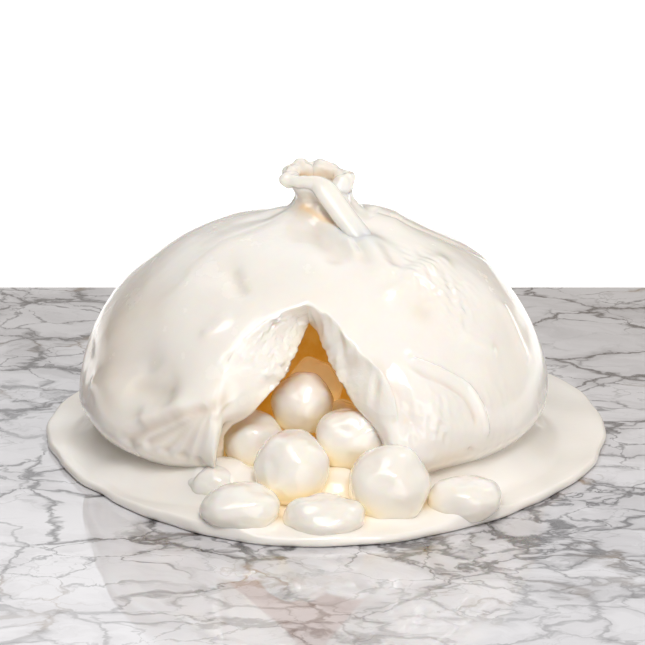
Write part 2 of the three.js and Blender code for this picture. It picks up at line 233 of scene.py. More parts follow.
# Cheese pouch
# A bag of stretched mozzarella, drawn up into a pleated neck whose end opens into a ruffled cap, with one
# strand folded down over the shoulder. A knife has opened its front, and the wet skin sags and creases
# beside the cut.
HALF_WIDTH, HALF_DEPTH = 99.3, 96.0
GIRTH_HEIGHT, CROWN_RISE, BELLY_DROP = 27.0, 77.5, 29.0
WALL, CAVITY_FLOOR, GAP = 15.0, 8.0, 0.3
NECK_OUTLINE = [
    (0, 116.6), (4, 116.8), (8, 117.2), (10.4, 117), (11.6, 115.6), (11.2, 113.4), (10.8, 111.4),
    (11.8, 108.8), (15.5, 105.4), (24.5, 102.2),
]
NECK_OFFSET, CAP_OFFSET, NECK_WEB = 3.5, -2.0, 2.5

# The cap's rolled lip, from the right round the back to the front, where it runs on as the strand that
# hangs over the shoulder: places, half thickness and half width
KNOT_ROPE = [
    (6, -6, 112.6, 2.4, 2.4), (11.6, -3.4, 115.4, 3.7, 3.7), (12.6, 2.4, 117.4, 4.6, 4.6),
    (9.2, 6.2, 118.6, 3.2, 3.2), (4.2, 7.4, 120.2, 4.5, 4.5), (-0.2, 8.6, 119.8, 3.4, 3.4),
    (-4.2, 7, 120.2, 4.4, 4.4), (-8.6, 3.4, 119.8, 4, 4), (-9.8, -2.8, 119, 3.4, 3.4),
    (-6.4, -6.6, 118.6, 2.6, 2.6), (-2.6, -8.2, 118.9, 2.6, 2.8), (1.4, -9.2, 118.4, 3.2, 4),
    (4.6, -11, 116.6, 3.9, 5.1), (7, -13.4, 114, 4, 5.3), (9.8, -16.3, 110.7, 4, 5.2),
    (13.3, -20.2, 106.8, 3.9, 5.2), (17.6, -25, 102.6, 3.6, 5.2), (21.2, -29.2, 98.8, 3.2, 4.9),
    (24.4, -33.2, 95.2, 2.6, 4.2), (27, -36.6, 91.6, 2, 3.2),
]
CUT_TOP, CUT_FOOT, CUT_ROUNDING, CUT_TURN = (math.radians(angle) for angle in (46.5, -48.0, 13.0, -1.7))
# The cut's half widths in the skin and at the wall's inside, as drop below its top and width
LEFT_EDGE = [
    (0, 0), (1.7, 8), (5.8, 16.5), (11.4, 24.2), (19.7, 30.8), (26, 33.6), (35, 36), (44, 36.8), (60, 37),
]
RIGHT_EDGE = [
    (0, 0), (1.2, 3.4), (4.4, 9), (8.9, 14), (15.8, 21), (19, 25.2), (22.3, 29.5), (28.5, 33.5), (36, 35),
    (60, 36),
]
LEFT_INSIDE = [
    (0, 0), (1.5, 0.6), (7, 3.2), (14, 6.9), (17.7, 8.7), (24, 14.7), (30.8, 21.4), (36.5, 30.2),
    (41.9, 33.2), (60, 34),
]
RIGHT_INSIDE = [
    (0, 0), (2.9, 3.8), (8.3, 6.5), (16.1, 11), (22.6, 15.4), (28.8, 19.3), (35.8, 26.5), (41.3, 30.5),
    (46, 33), (60, 35),
]
SKIN_COLUMNS, WALL_COLUMNS, FACE_COLUMNS = 360, 90, 44
CROWD = 0.45
CUT_REACH = 1.35
LIP_CURL = 3.0
FULL_TURN = 2 * math.pi
CHEESE_WHITE = (0.94, 0.905, 0.86, 1)
CHEESE_IVORY = (0.93, 0.885, 0.82, 1)
# Painted shade colours of the cheese: amber, which also glows, where little light reaches, and tan in creases
# and shadow
PAINTED_AMBER_SHADE = (0.80, 0.45, 0.09, 1)
PAINTED_TAN_SHADE = (0.64, 0.50, 0.36, 1)

# Swells and hollows of the bag as place, spread and height
SWELLS = [
    ((60, 0, 86), 34, 1.6), ((22, 4, 103), 11, 2.0), ((-72, -10, 75), 18, -1.2), ((44, -68, 69), 11, -4.0),
    ((62, -64, 58), 11, -4.0), ((80, -48, 52), 12, -2.6), ((45, -84, 40), 13, 3.5), ((47, -52, 82), 12, 2.6),
    ((-70, -60, 54), 13, -3.0), ((-36, -39, 92), 8, -2.0), ((-46, -84, 22), 10, -2.0),
    ((-48, -84, 45), 9, 2.5), ((-80, -54, 33), 13, 2.5), ((-66, -70, 33), 10, 1.5), ((25, -1, 103), 9, 2.5),
    ((24, -33, 98), 6, 1.0),
]

# Soft folds of the skin as path, width and height
SOFT_FOLDS = [
    ([(33, -55, 85), (39, -47, 88), (46, -37, 89), (52, -28, 89)], 3.5, 1.6),
    ([(44, -58, 78), (45, -58, 77)], 4.0, -1.8),
    ([(64, -56, 66), (74, -50, 60)], 2.5, 1.4),
    ([(79, -28, 69), (83, -30, 61), (88, -32, 52)], 2.2, 1.2),
    ([(29, -82, 60), (33, -86, 51), (37, -87, 42)], 4.5, -3.0),
    ([(-96, -16, 45), (-90, -34, 48), (-80, -48, 51), (-72, -58, 54)], 6.0, -1.6),
    ([(-90, -36, 40), (-83, -47.5, 45), (-73.5, -57, 51)], 3.6, 1.2),
    ([(-72, -61, 48), (-66, -67, 48), (-60, -71, 49)], 4.5, -2.2),
    ([(-66, -70, 37), (-60, -75, 40), (-53, -79, 43.6)], 3.2, 2.2),
    ([(-9, -70, 58), (-20, -79, 56), (-31, -84, 52), (-41, -84, 46)], 1.7, 1.4),
    ([(-12, -72, 54), (-22, -80, 50), (-31, -85, 46), (-38, -86, 41)], 1.7, -1.2),
    ([(-36, -82, 44), (-37.6, -79, 37), (-37.6, -78, 28), (-37.6, -76, 18)], 2.6, -3.0),
    ([(-41, -84, 45), (-54, -79, 35), (-66, -72, 26.5)], 1.9, -1.8),
    ([(-41, -84, 45), (-51, -80.5, 34), (-59.5, -76, 24)], 1.7, -1.6),
    ([(-41, -84, 45), (-48, -82.5, 33), (-53, -79, 21.7)], 1.7, -1.6),
    ([(-40, -84, 45), (-44, -84, 32), (-47, -81, 19)], 1.7, -1.6),
    (
        [(-74, -63, 24), (-67, -70, 31), (-60, -76, 36), (-52, -80, 41), (-41, -84, 45), (-33, -84, 52)],
        2.2, -2.2,
    ),
    ([(-42, -67, 71), (-36, -66, 76)], 2.2, 1.0),
    ([(-33, -45, 91), (-31, -50, 88), (-29, -56, 86)], 2.5, -1.3),
    ([(-4, -7, 104), (-1, -11, 104), (5, -18, 103), (12, -26, 101), (18, -40, 96)], 2.4, 2.0),
    ([(1, -20, 103), (6, -32, 100), (9, -42, 96)], 4.0, -2.2),
    ([(-19, -3, 103), (-13, 1, 104), (-7, 4, 104)], 3.0, -0.9),
    ([(19, -27, 101), (24, -34, 97), (28, -46, 90)], 5.2, 2.6),
    ([(28, -33, 96), (32, -41, 92)], 2.4, -0.8),
    ([(18, -35, 98), (21, -44, 93)], 2.2, -0.8),
]

# Crisp creases and rims of the skin, all narrower than the crisp width, as path, width and height
CRISP_WIDTH = 1.65
CRISP_FOLDS = [
    ([(41, -75, 63), (46, -74, 61), (55, -71, 56), (64, -68, 49), (69, -68, 38), (70, -68, 30)], 1.6, 2.2),
    ([(39, -77, 60), (46, -77, 57), (55, -74, 52), (62, -71, 45), (66, -71, 36)], 1.2, -1.2),
    ([(64, -73, 24), (68, -69, 17)], 1.2, -1.4),
    ([(28, -3, 101), (45, -4, 96), (63, 1, 87), (75, 13, 77)], 1.4, -1.0),
    (
        [
            (-37, -73, 25), (-36, -73, 30), (-33, -74, 36), (-24, -75.5, 41.6), (-17, -74.5, 48),
            (-11, -72, 54.6),
        ],
        1.6, 1.6,
    ),
    ([(-33.4, -78.3, 63.5), (-30.5, -83, 57.6)], 1.1, -1.6),
]

# Painted shade: places that hardly any light reaches, and the shaded left flank, as place, spread and
# strength
SHADES = [
    ((-3, -10, 109), 4.5, 0.6), ((-4, 2, 117), 4.5, 0.5), ((5, 2, 117), 4.5, 0.5), ((11, -1, 115), 2.5, 0.5),
    ((-37.5, -79, 37), 4.0, 0.6), ((-37.5, -77, 28), 4.0, 0.6), ((-37.5, -75, 20), 4.0, 0.6),
    ((-94, -22, 50), 22.0, 0.45),
]

# Ripples of the skin and of the cap's lobes, as height, wave length and seed
SKIN_RIPPLES = [(0.3, 42, 3), (0.03, 11, 5)]
LOBE_RIPPLES = [(0.5, 7.5, 17), (0.1, 3, 18)]
CRINKLE_WAVE, CRINKLE_SEED = 4.5, 8

# Patches where the wet skin has dried into fine crinkles, as place, spread and height
CRINKLES = [
    ((59, -49, 75), 9, 0.22), ((44, -84, 40), 8, 0.32), ((45, -40, 88), 8, 0.22), ((-58, -76, 38), 9, 0.05),
    ((70, -60, 40), 12, 0.08),
]


def ease(low, high, value):
    """Nought below the low limit, one above the high one, and a smooth rise between them."""
    t = np.clip((value - low) / (high - low), 0, 1)
    return t * t * (3 - 2 * t)


def curve_through(places, count):
    """A smooth curve through places: between two of them a cubic whose slopes follow the neighbours."""
    p = np.array(places, float)
    p = np.concatenate([2 * p[:1] - p[1:2], p, 2 * p[-1:] - p[-2:-1]])
    along = np.linspace(0, len(p) - 3, count)
    k = np.minimum(along.astype(int), len(p) - 4)
    t = (along - k)[:, None]
    a, b, c, d = p[k], p[k + 1], p[k + 2], p[k + 3]
    return b + 0.5 * t * (c - a + t * (2 * a - 5 * b + 4 * c - d + t * (3 * (b - c) + d - a)))


def distance_to(points, path):
    """How far each point is from the nearest stretch of a path."""
    nearest = np.full(len(points), np.inf)
    for start, end in zip(path[:-1], path[1:]):
        leg = end - start
        share = np.clip((points - start) @ leg / (leg @ leg), 0, 1)
        nearest = np.minimum(nearest, np.linalg.norm(points - start - share[:, None] * leg, axis=1))
    return nearest


def round_spots(points, spots):
    """The sum of bell-shaped rises, each with its place, spread and height."""
    total = np.zeros(len(points))
    for place, spread, height in spots:
        away = ((points - place) ** 2).sum(1)
        total += height * np.exp(-away / (2 * spread * spread))
    return total


def ripples(points, wave, seed):
    """Random soft unevenness: thirty plane waves of about one length, in all directions, added together."""
    draw = np.random.default_rng(seed)
    direction = draw.normal(size=(30, 3))
    direction /= np.linalg.norm(direction, axis=1)[:, None]
    beat = FULL_TURN / wave * draw.uniform(0.6, 1.5, 30)
    phase = draw.uniform(0, FULL_TURN, 30)
    return np.sin(points @ (direction * beat[:, None]).T + phase).sum(1) / math.sqrt(15)


def unevenness(points, layers):
    """The sum of several ripples, each with its height, wave length and seed."""
    return sum(height * ripples(points, wave, seed) for height, wave, seed in layers)


def dome_ring(latitude):
    """Radius and height of the bag: the latitude's cosine outwards, its sine upwards, flatter below."""
    rise = np.where(latitude > 0, CROWN_RISE, BELLY_DROP)
    return HALF_WIDTH * np.cos(latitude), GIRTH_HEIGHT + rise * np.sin(latitude)


def cavity_ring(latitude):
    """Radius and height of the hollow inside the bag, one wall's thickness in from the dome."""
    rise = np.where(latitude > 0, CROWN_RISE - WALL, GIRTH_HEIGHT - CAVITY_FLOOR)
    return (HALF_WIDTH - WALL) * np.cos(latitude), GIRTH_HEIGHT + rise * np.sin(latitude)


def outer_cut(drop):
    """The cut's half widths in the skin, straight from one known drop to the next."""
    return tuple(np.interp(drop, *np.array(edge).T) for edge in (LEFT_EDGE, RIGHT_EDGE))


def inner_cut(drop):
    """The cut's half widths at the wall's inside, straight between the known drops, a little ragged above."""
    ragged = 0.5 * np.sin(1.9 * drop) * np.sin(0.83 * drop + 1) * ease(2, 8, drop) * (1 - ease(20, 28, drop))
    left, right = (np.interp(drop, *np.array(edge).T) for edge in (LEFT_INSIDE, RIGHT_INSIDE))
    return left + ragged, right - ragged


def turns_round(latitude, radius, height, widths, columns):
    """Each ring's turns, from the cut's right side round the back to its left, crowded towards the cut."""
    inside = (latitude < CUT_TOP) & (latitude > CUT_FOOT)
    rounding = np.clip((latitude - CUT_FOOT) / CUT_ROUNDING, 0, 1)
    share = np.where(inside, np.sqrt(1 - (1 - rounding) ** 2), 0)
    drop = np.where(inside, height[latitude == CUT_TOP].max() - height, 0)
    left, right = (width * share / np.maximum(radius, 1) for width in widths(drop))
    start = np.where(inside, np.arcsin(np.sin(CUT_TURN) + right) - CUT_TURN, 0)
    end = np.where(inside, CUT_TURN - np.arcsin(np.sin(CUT_TURN) - left), 0)
    s = np.linspace(0, 1, columns + 1)
    turn = FULL_TURN * (s - CROWD * np.sin(FULL_TURN * s) / FULL_TURN)
    right_push = start[:, None] * np.maximum(1 - turn / CUT_REACH, 0)
    left_push = end[:, None] * np.maximum(1 - (FULL_TURN - turn) / CUT_REACH, 0)
    return CUT_TURN + turn + right_push - left_push


def round_ring(turn, radius, height, squeeze):
    """Points of level ovals: the sine of the turn to the right, its cosine to the front."""
    radius, height = (np.broadcast_to(value[:, None], turn.shape) for value in (radius, height))
    return np.stack([radius * np.sin(turn), -radius * np.cos(turn) * squeeze, height], -1)


def gather(points, turn, radius, height):
    """Draws the skin up into the neck: soft pleats, a web on the right, and a lean below the cap."""
    radius, height = radius[:, None], height[:, None]
    neck = ease(100, 106, height) * (1 - ease(112, 117, height)) * np.minimum(1, radius / 8)
    pleat = 0.35 * np.cos(7 * turn) + 0.2 * np.cos(11 * turn + 1)
    outwards = neck * (pleat + NECK_WEB * np.maximum(np.sin(turn), 0))
    shift = NECK_OFFSET * ease(98, 108, height) + CAP_OFFSET * ease(111, 119, height)
    points[..., 0] += outwards * np.sin(turn) + shift
    points[..., 1] -= outwards * np.cos(turn)
    return points


def soften(points, corners, weight, rounds):
    """Rounds edges off: each round moves a point, by its weight, towards the middle of its neighbours."""
    one = np.concatenate([corners, np.roll(corners, -1, axis=1)]).ravel()
    other = np.concatenate([np.roll(corners, -1, axis=1), corners]).ravel()
    apart = one != other
    one, other = one[apart], other[apart]
    count = np.bincount(one, minlength=len(points))[:, None]
    for _ in range(rounds):
        total = np.stack([np.bincount(one, points[other, k], len(points)) for k in range(3)], -1)
        points = points + weight[:, None] * (total / count - points)
    return points


def facing(points, corners):
    """Each point's outward direction: the sum of its faces' directions, each square to its diagonals."""
    a, b, c, d = (points[corners[:, k]] for k in range(4))
    normal = np.cross(c - a, d - b)
    total = np.zeros_like(points)
    for k in range(4):
        total += np.stack([np.bincount(corners[:, k], normal[:, n], len(points)) for n in range(3)], -1)
    return total / np.maximum(np.linalg.norm(total, axis=1), 1e-9)[:, None]


def wet_cheese(name, dullness, coat, painted_glow_colour, glow):
    """Ivory white, translucent, glossy, rough where the knife has cut; painted tan shade, painted warm shade
    and glow.
    """
    finish, tree, shader = new_finish(name)
    place = add_node(tree, "ShaderNodeTexCoord", {}).outputs["Object"]
    depth = add_node(tree, "ShaderNodeAttribute", {}, attribute_name="depth").outputs["Fac"]
    flaky = add_node(tree, "ShaderNodeAttribute", {}, attribute_name="flaky").outputs["Fac"]
    blotch = fade(tree, noise(tree, place, 22.0, 4.0).outputs["Fac"], 0.35, 0.7)
    colour = blend_colours(tree, blotch, CHEESE_WHITE, CHEESE_IVORY)
    # Painted shade: the colour turns tan in creases and other places that light hardly reaches.
    shade = add_node(tree, "ShaderNodeAttribute", {}, attribute_name="shade").outputs["Fac"]
    colour = blend_colours(tree, shade, colour, PAINTED_TAN_SHADE)
    # Painted warm shade: amber or butter yellow where little light reaches, with a painted glow there below.
    colour = blend_colours(tree, depth, colour, painted_glow_colour)
    tree.links.new(colour, shader.inputs["Base Color"])
    sheen = noise(tree, place, 70.0, 4.0).outputs["Fac"]
    wet = add_node(tree, "ShaderNodeAttribute", {}, attribute_name="wet").outputs["Fac"]
    gloss = fade(tree, sheen, 0.35, 0.7, *dullness)
    gloss = calculate(tree, "SUBTRACT", gloss, calculate(tree, "MULTIPLY", wet, 0.22))
    gloss = calculate(tree, "ADD", gloss, calculate(tree, "MULTIPLY", flaky, 0.08))
    tree.links.new(gloss, shader.inputs["Roughness"])
    wrinkle = noise(tree, place, 230.0, 3.0).outputs["Fac"]
    soft = add_node(tree, "ShaderNodeBump", {"Strength": 0.16, "Distance": 0.0006, "Height": wrinkle})
    torn = noise(tree, push_aside(tree, place, 150.0, 0.004), 420.0, 4.0, 0.65).outputs["Fac"]
    rough = calculate(tree, "MULTIPLY", torn, flaky)
    sockets = {"Strength": 0.35, "Distance": 0.0008, "Height": rough, "Normal": soft.outputs[0]}
    tree.links.new(add_node(tree, "ShaderNodeBump", sockets).outputs[0], shader.inputs["Normal"])
    # Painted glow: those shaded places give off light in the same warm colour.
    tree.links.new(calculate(tree, "MULTIPLY", depth, glow), shader.inputs["Emission Strength"])
    shader.inputs["Emission Color"].default_value = painted_glow_colour
    shader.inputs["Subsurface Weight"].default_value = 0.35
    shader.inputs["Subsurface Radius"].default_value = (1.0, 0.6, 0.32)
    shader.inputs["Subsurface Scale"].default_value = 0.006
    shader.inputs["IOR"].default_value = 1.42
    shader.inputs["Coat Weight"].default_value = coat
    shader.inputs["Coat Roughness"].default_value = 0.045
    return finish


def pouch_grids():
    """The bag as grids: skin from cap to foot, the wall's inside, and the cut's two faces between them."""
    neck = curve_through(NECK_OUTLINE, 50)
    shoulder = np.radians(np.linspace(70, math.degrees(CUT_TOP), 26))[:-1]
    opened = CUT_TOP - (CUT_TOP - CUT_FOOT - CUT_ROUNDING) * np.linspace(0, 1, 104) ** 1.35
    rounded = CUT_FOOT + CUT_ROUNDING * (1 - np.sin(np.linspace(0, math.pi / 2, 11)))[1:]
    cut = np.concatenate([opened, rounded])
    foot = np.linspace(CUT_FOOT, -math.asin((GIRTH_HEIGHT - GAP) / BELLY_DROP), 9)[1:]
    dome = np.concatenate([shoulder, cut, foot])
    radius, height = dome_ring(dome)
    latitude = np.concatenate([np.full(len(neck), math.pi / 2), dome, [-math.pi / 2]])
    radius = np.concatenate([np.maximum(neck[:, 0], 0), radius, [0]])
    height = np.concatenate([neck[:, 1], height, [GAP]])
    turn = turns_round(latitude, radius, height, outer_cut, SKIN_COLUMNS)
    skin = gather(round_ring(turn, radius, height, HALF_DEPTH / HALF_WIDTH), turn, radius, height)
    roof = np.linspace(math.pi / 2, CUT_TOP, 12)[:-1]
    floor = np.linspace(CUT_FOOT, -math.pi / 2, 10)[1:]
    hollow = np.concatenate([roof, cut, floor])
    turn = turns_round(hollow, *cavity_ring(hollow), inner_cut, WALL_COLUMNS)
    wall = round_ring(turn, *cavity_ring(hollow), (HALF_DEPTH - WALL) / (HALF_WIDTH - WALL))
    edge_rows = len(neck) + len(shoulder) + np.arange(len(cut))
    inner_rows = len(roof) + np.arange(len(cut))
    across = np.linspace(0, 1, FACE_COLUMNS)[:, None]
    faces = []
    for side, beside in ((0, 1), (-1, -2)):
        edge, inside = skin[edge_rows, side], wall[inner_rows, side]
        onward = edge - skin[edge_rows, beside]
        onward /= np.maximum(np.linalg.norm(onward, axis=1), 1e-9)[:, None]
        bend = (edge + LIP_CURL * onward - (edge + inside) / 2) * (1 - ease(46, 58, edge[:, 2:]))
        straight = edge[:, None] * (1 - across) + inside[:, None] * across
        faces.append(straight + 2 * across * (1 - across) * bend[:, None])
    return skin, wall, *faces, edge_rows


def lip_softness(points, edge, low, high):
    """How far each point shares in the rounding of a lip: wholly on its lower part, hardly away from it."""
    away = distance_to(points, edge[::6])
    lower = 1 - ease(low, high, points[:, 2])
    return lower * np.exp(-(away / 8) ** 2) + 0.1 * np.exp(-(away / 1.5) ** 2)


def knot_rope():
    """A rounded rope along the knot's path, its thickness and width changing, closed at both ends."""
    path = curve_through(KNOT_ROPE, 260)
    share = np.linspace(0, 1, len(path))
    closing = np.sqrt(np.maximum(0, 1 - np.abs(2 * share - 1) ** 40))[:, None]
    middle, thickness, width = path[:, :3], path[:, 3:4] * closing, path[:, 4:] * closing
    along = np.gradient(middle, axis=0)
    along /= np.linalg.norm(along, axis=1)[:, None]
    side = np.cross(along, [0.3, -0.5, 0.8])
    side /= np.linalg.norm(side, axis=1)[:, None]
    up = np.cross(side, along)
    turn = np.linspace(0, FULL_TURN, 41)[None, :]
    outwards = side[:, None] * (width * np.cos(turn))[..., None]
    return middle[:, None] + outwards + up[:, None] * (thickness * np.sin(turn))[..., None]


skin, wall, right_face, left_face, edge_rows = pouch_grids()
pouch_parts = [skin, wall[:, ::-1], right_face[:, ::-1], left_face, knot_rope()]
pouch_points, pouch_corners, pouch_number = weld(pouch_parts)
part_of = np.repeat(np.arange(len(pouch_parts)), [grid.shape[0] * grid.shape[1] for grid in pouch_parts])


def mark_points(values):
    """A value for each grid point, given to the point that it became, the largest where several meet."""
    marked = np.zeros(len(pouch_points))
    np.maximum.at(marked, pouch_number, values)
    return marked


across_face = np.linspace(0, 1, FACE_COLUMNS)
on_face = mark_points(np.isin(part_of, (2, 3)) * 1.0)
on_right_face = mark_points((part_of == 2) * 1.0)
on_wall = mark_points((part_of == 1) * 1.0)
on_knot = mark_points((part_of == 4) * 1.0)
left_edge, right_edge = skin[edge_rows, -1], skin[edge_rows, 0]
dome_points = pouch_points.copy()
swell = round_spots(dome_points, SWELLS) * (1 - ease(100, 105, dome_points[:, 2]))
swell *= (1 - on_wall) * (1 - on_knot)
pouch_points += facing(pouch_points, pouch_corners) * swell[:, None]
softness = np.maximum(
    lip_softness(pouch_points, left_edge, 54, 66), 0.8 * lip_softness(pouch_points, right_edge, 48, 62),
)
inwards = (part_of == 1) * 1.0
inwards[part_of == 2] = np.tile(across_face[::-1] ** 2, len(right_face))
inwards[part_of == 3] = np.tile(across_face ** 2, len(left_face))
held = mark_points(inwards)
pouch_points = soften(pouch_points, pouch_corners, np.minimum(softness, 0.9) * (1 - on_knot) * (1 - held), 70)


def skin_relief(points):
    """Height of the skin: slow unevenness, the highest fold, the deepest crease and the crinkles."""
    raised, sunk = np.zeros((2, len(points)))
    for path, width, rise in SOFT_FOLDS + CRISP_FOLDS:
        away = distance_to(points, curve_through(path, 16)) / width
        height = rise * np.exp(-away if width < CRISP_WIDTH else -away ** 2 / 2)
        raised, sunk = np.maximum(raised, height), np.minimum(sunk, height)
    crinkled = round_spots(points, CRINKLES) * ripples(points, CRINKLE_WAVE, CRINKLE_SEED)
    return unevenness(points, SKIN_RIPPLES) + raised + sunk + crinkled


def torn_flakes(points):
    """Height of the torn sheets on the cut's left face: flat plates, each with its own level and lean."""
    draw = np.random.default_rng(11)
    count = 500
    stretch = np.array([0.75, 1.0, 1.0])
    middle = draw.uniform([-42, -90, 44], [2, -52, 84], (count, 3))
    level = draw.uniform(-0.25, 0.25, count)
    lean = draw.normal(scale=0.09, size=(count, 3))
    wander = points + np.stack([ripples(points, 5, seed) for seed in (15, 16, 17)], -1) * 0.7
    away = ((wander[:, None] - middle) * stretch) ** 2
    nearest = away.sum(2).argmin(1)
    return level[nearest] + ((points - middle[nearest]) * lean[nearest]).sum(1)


def pulled_fibres(points):
    """Height of the fibres on the cut's right face: waves drawn out along the way that the wall runs down."""
    drawn = points * [1.0, 0.5, 0.22]
    return 0.2 * ripples(drawn, 4.5, 13) + 0.35 * ripples(points, 14, 14)


def along_folds(points, raised):
    """How near each point is to the line of a raised or a sunken fold, less for the low and the wide ones."""
    near = np.zeros(len(points))
    for path, width, rise in SOFT_FOLDS + CRISP_FOLDS:
        if (rise > 0) == raised:
            away = distance_to(points, curve_through(path, 16)) / (width + raised)
            near = np.maximum(near, min(abs(rise) / 2, 1) * min(2 / width, 1) * np.exp(-away ** 2))
    return near


above_foot = ease(4, 14, pouch_points[:, 2])
torn = on_face * ease(54, 59, dome_points[:, 2] + 0.25 * dome_points[:, 0] + 6)
relief = skin_relief(dome_points) * (1 - on_wall) * (1 - torn) * above_foot
face_relief = np.where(on_right_face > 0, pulled_fibres(pouch_points), torn_flakes(pouch_points))
relief += face_relief * torn * (1 - on_wall)
lobes = ease(-10, -4, dome_points[:, 1]) * unevenness(dome_points, LOBE_RIPPLES)
relief = relief * (1 - on_knot) + on_knot * lobes
pouch_points += facing(pouch_points, pouch_corners) * relief[:, None]
# Painted warm shade and glow on the bag: amber inside the hollow and on the cut faces near the wall, along
# the gap under the strand, in the cap's fold, and faintly at the right foot.
knot_gap = curve_through([(-4, -9, 108), (2, -14, 105.5), (8, -18, 103.5)], 8)
depth = np.maximum(on_wall * ease(-62, -36, pouch_points[:, 1]), 0.3 * (held * on_face) ** 4)
depth = np.maximum(depth, 0.6 * np.exp(-(distance_to(pouch_points, knot_gap) / 1.6) ** 2))
fold_of_cap = curve_through([(-7, 1, 118.5), (0, 2.5, 118.5), (6, 1.5, 118), (10, -1, 116.5)], 10)
depth = np.maximum(depth, 0.5 * np.exp(-(distance_to(pouch_points, fold_of_cap) / 1.8) ** 2))
depth = np.maximum(depth, 0.2 * np.exp(-((pouch_points - [54, -78, 13]) ** 2).sum(1) / 200))
wet = round_spots(dome_points, [(place, spread, 1) for place, spread, _ in CRINKLES])
wet = np.clip(wet + along_folds(dome_points, True), 0, 1)
# Painted tan shade along the sunken folds and at the listed places in shadow.
shade = 0.42 * along_folds(dome_points, False) * (1 - torn) * (1 - on_knot)
for place, spread, strength in SHADES:
    shade = np.maximum(shade, strength * np.exp(-((pouch_points - place) ** 2).sum(1) / (2 * spread ** 2)))
pouch_finish = wet_cheese("pouch_skin", (0.22, 0.28), 0.8, PAINTED_AMBER_SHADE, 0.16)
make_piece(
    "mozzarella_pouch", pouch_points, pouch_corners, pouch_finish, "cheese", "cheese_pouch",
    depth=np.clip(depth, 0, 1) * 0.9, flaky=torn * (1 - on_wall), wet=wet, shade=shade,
)

# Cream filling
# Thick cream and shreds that fill the bag. Behind the cut some has run out with the balls, so that its
# surface slopes from the back of the hollow down to the mouth, between banks left standing at both sides.
# Painted shade and glow colours: gold for cream in shade, and an amber glow
PAINTED_GOLD_SHADE = (0.92, 0.72, 0.38, 1)
PAINTED_AMBER_GLOW = (1.0, 0.62, 0.05, 1)
FILLING_SLOPE = [(-100, 10), (-70, 13), (-45, 17), (-25, 25), (-12, 40), (-6, 62), (-4, 100)]
HEAD_MIDDLE, HEAD_HALF, BANK, BANK_HEIGHT = -3.5, 35.0, 5.0, 80.0


def filling_grid():
    """The hollow's own oval, lowered to the slope and its banks wherever it stands higher than they do."""
    latitude = np.linspace(math.pi / 2, -math.pi / 2, 110)
    turn = np.broadcast_to(np.linspace(0, FULL_TURN, 181), (len(latitude), 181))
    radius, height = cavity_ring(latitude)
    oval = round_ring(turn, radius + 1, height, (HALF_DEPTH - WALL) / (HALF_WIDTH - WALL))
    points = oval.reshape(-1, 3)
    slope = np.array(FILLING_SLOPE, float)
    beside = ease(HEAD_HALF - BANK, HEAD_HALF, np.abs(points[:, 0] - HEAD_MIDDLE))
    bank = BANK_HEIGHT * beside * ease(-68, -54, points[:, 1])
    limit = np.interp(points[:, 1], slope[:, 0], slope[:, 1]) + bank + 0.8 * ripples(points, 14, 21)
    points[:, 2] = np.minimum(points[:, 2], np.maximum(limit, CAVITY_FLOOR + 0.5))
    return points.reshape(oval.shape)


def painted_amber_cream():
    """Cream with painted shade, golden at the mouth, amber behind, paler in soft lumps, and a painted amber
    glow.
    """
    finish, tree, shader = new_finish("painted_amber_cream")
    place = add_node(tree, "ShaderNodeTexCoord", {}).outputs["Object"]
    lumps = noise(tree, place, 90.0, 4.0).outputs["Fac"]
    depth = add_node(tree, "ShaderNodeAttribute", {}, attribute_name="depth").outputs["Fac"]
    colour = blend_colours(tree, depth, PAINTED_GOLD_SHADE, PAINTED_AMBER_SHADE)
    colour = blend_colours(tree, fade(tree, lumps, 0.35, 0.75, 0.0, 0.35), colour, CHEESE_IVORY)
    tree.links.new(colour, shader.inputs["Base Color"])
    tree.links.new(fade(tree, lumps, 0.3, 0.7, 0.35, 0.55), shader.inputs["Roughness"])
    bump = add_node(tree, "ShaderNodeBump", {"Strength": 0.3, "Distance": 0.001, "Height": lumps})
    # Painted glow: the cream gives off amber light everywhere, a little more in the lumps.
    shader.inputs["Emission Color"].default_value = PAINTED_AMBER_GLOW
    tree.links.new(fade(tree, lumps, 0.3, 0.7, 0.10, 0.13), shader.inputs["Emission Strength"])
    tree.links.new(bump.outputs[0], shader.inputs["Normal"])
    shader.inputs["Subsurface Weight"].default_value = 0.3
    shader.inputs["Subsurface Radius"].default_value = (1.0, 0.5, 0.2)
    shader.inputs["Subsurface Scale"].default_value = 0.006
    return finish


filling_points, filling_corners, _ = weld([filling_grid()])
# Painted shade: the cream is golden at the mouth and turns amber towards the back of the hollow.
make_piece(
    "cream_inside", filling_points, filling_corners, painted_amber_cream(), "filling", "cream_filling",
    depth=ease(-78, -45, filling_points[:, 1]),
)

# Cheese balls
# Small pulled mozzarella balls, pinched off by hand, so that each is a little squashed and keeps a scar or
# a lip of skin where it was torn. They lie where they rolled out of the cut, in the cream.
BALL_ROWS, BALL_COLUMNS = 72, 108
BALL_UNEVENNESS, BALL_SWELL = 0.022, 0.025
# Painted warm shade colour of the balls' undersides and gaps, which also glows
PAINTED_BUTTER_SHADE = (0.94, 0.74, 0.40, 1)
BALL_RIPPLES = [(0.4, 1.3, 40), (0.13, 0.6, 60), (0.02, 0.25, 80)]

